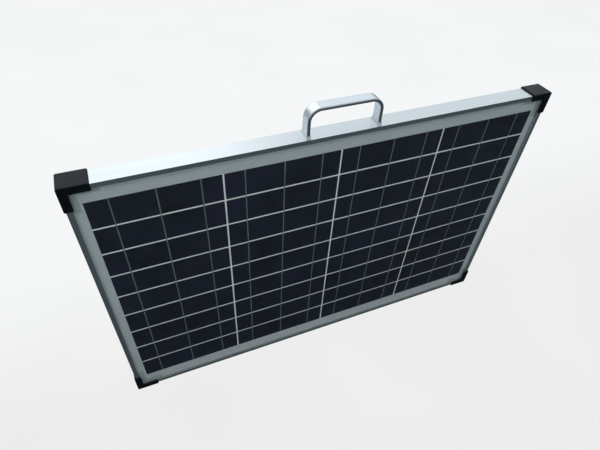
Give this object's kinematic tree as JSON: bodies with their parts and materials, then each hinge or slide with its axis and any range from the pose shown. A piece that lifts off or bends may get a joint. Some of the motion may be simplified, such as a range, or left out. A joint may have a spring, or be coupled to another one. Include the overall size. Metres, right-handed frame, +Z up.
{
  "type": "portable solar panel",
  "caption": "Framed solar panel carried by a bow handle, with corner guards, a fold-out rear stand and a small charge controller on its back.",
  "frame": {"origin": "on the floor, at the middle of the box round the panel standing upright on its lower corner guards", "axes": "+X along the long side, +Y from the glass front to the back, +Z up"},
  "size_m": [0.674, 0.029, 0.4783],
  "materials": {
    "frame_aluminium": "satin anodised",
    "key_aluminium": "as extruded",
    "handle_aluminium": "bright, lightly brushed",
    "stand_aluminium": "satin anodised",
    "edge_sealant": "matte",
    "solar_glass": "clear, faintly textured",
    "clear_film": "clear",
    "silicon_cells": "dark blue polycrystalline",
    "tinned_ribbon": "dull tin",
    "white_film": "satin white",
    "guard_plastic": "moulded, fine grain",
    "zinc_steel": "zinc plated",
    "bracket_steel": "zinc plated sheet",
    "adhesive_foam": "matte",
    "box_plastic": "moulded, fine grain",
    "gasket_rubber": "matte",
    "terminal_brass": "plain",
    "diode_black": "moulded",
    "controller_plastic": "moulded, fine grain",
    "cover_plastic": "moulded, fine grain",
    "window_clear": "clear",
    "display_panel": "grey-green display",
    "circuit_green": "green solder mask",
    "terminal_block": "moulded",
    "button_rubber": "matte grey",
    "cable_jacket": "matte",
    "nylon": "plain",
    "knob_plastic": "moulded, fine grain",
    "foot_rubber": "matte"
  },
  "bodies": {
    "panel": {"adhesive_pads": "adhesive_foam", "backsheet": "white_film", "bus_ribbons": "tinned_ribbon", "bypass_diodes": "diode_black", "carry_handle": "handle_aluminium", "cell_string_1": "silicon_cells", "cell_string_2": "silicon_cells", "cell_string_3": "silicon_cells", "cell_string_4": "silicon_cells", "controller_board": "circuit_green", "controller_case": "controller_plastic", "controller_cover": "cover_plastic", "controller_display": "display_panel", "controller_inlet_gland": "box_plastic", "controller_outlet_gland": "box_plastic", "controller_screws": "zinc_steel", "controller_terminals": "terminal_block", "controller_window": "window_clear", "corner_guard_bottom_left": "guard_plastic", "corner_guard_bottom_right": "guard_plastic", "corner_guard_top_left": "guard_plastic", "corner_guard_top_right": "guard_plastic", "corner_keys": "key_aluminium", "cover_glass": "solar_glass", "edge_seal": "edge_sealant", "frame_rail_bottom": "frame_aluminium", "frame_rail_left": "frame_aluminium", "frame_rail_right": "frame_aluminium", "frame_rail_top": "frame_aluminium", "front_encapsulant": "clear_film", "guard_screws": "zinc_steel", "handle_screws": "zinc_steel", "handle_washers": "zinc_steel", "insulation_strips": "white_film", "junction_box_base": "box_plastic", "junction_box_gasket": "gasket_rubber", "junction_box_lid": "box_plastic", "junction_box_screws": "zinc_steel", "junction_gland": "box_plastic", "junction_terminals": "terminal_brass", "lead_clip": "box_plastic", "panel_lead": "cable_jacket", "pivot_bolts": "zinc_steel", "pivot_washers": "nylon", "rear_encapsulant": "clear_film", "rivets": "zinc_steel", "stand_brackets": "bracket_steel", "stand_clips": "bracket_steel", "tabbing_ribbons": "tinned_ribbon"},
    "stand": {"stand_leg_left": "stand_aluminium", "stand_leg_right": "stand_aluminium", "cross_bar": "stand_aluminium", "cross_bar_screws": "zinc_steel", "leg_feet": "foot_rubber"},
    "knob_left": {"clamp_knob_left": "knob_plastic"},
    "knob_right": {"clamp_knob_right": "knob_plastic"},
    "button_left": {"controller_button_left": "button_rubber"},
    "button_middle": {"controller_button_middle": "button_rubber"},
    "button_right": {"controller_button_right": "button_rubber"}
  },
  "joints": [
    {"name": "stand_hinge", "type": "hinge", "parent": "panel", "child": "stand", "pos_m": [0, 0.0035, 0.342], "axis": [1, 0, 0], "range_deg": [0, 60]},
    {"name": "clamp_knob_left_turn", "type": "hinge", "parent": "panel", "child": "knob_left", "pos_m": [-0.29, 0.0035, 0.342], "axis": [1, 0, 0], "continuous": true},
    {"name": "clamp_knob_right_turn", "type": "hinge", "parent": "panel", "child": "knob_right", "pos_m": [0.29, 0.0035, 0.342], "axis": [1, 0, 0], "continuous": true},
    {"name": "button_left_press", "type": "slide", "parent": "panel", "child": "button_left", "axis": [0, -1, 0], "range_m": [0, 0.001], "stiffness_N_per_m": 900},
    {"name": "button_middle_press", "type": "slide", "parent": "panel", "child": "button_middle", "axis": [0, -1, 0], "range_m": [0, 0.001], "stiffness_N_per_m": 900},
    {"name": "button_right_press", "type": "slide", "parent": "panel", "child": "button_right", "axis": [0, -1, 0], "range_m": [0, 0.001], "stiffness_N_per_m": 900}
  ]
}
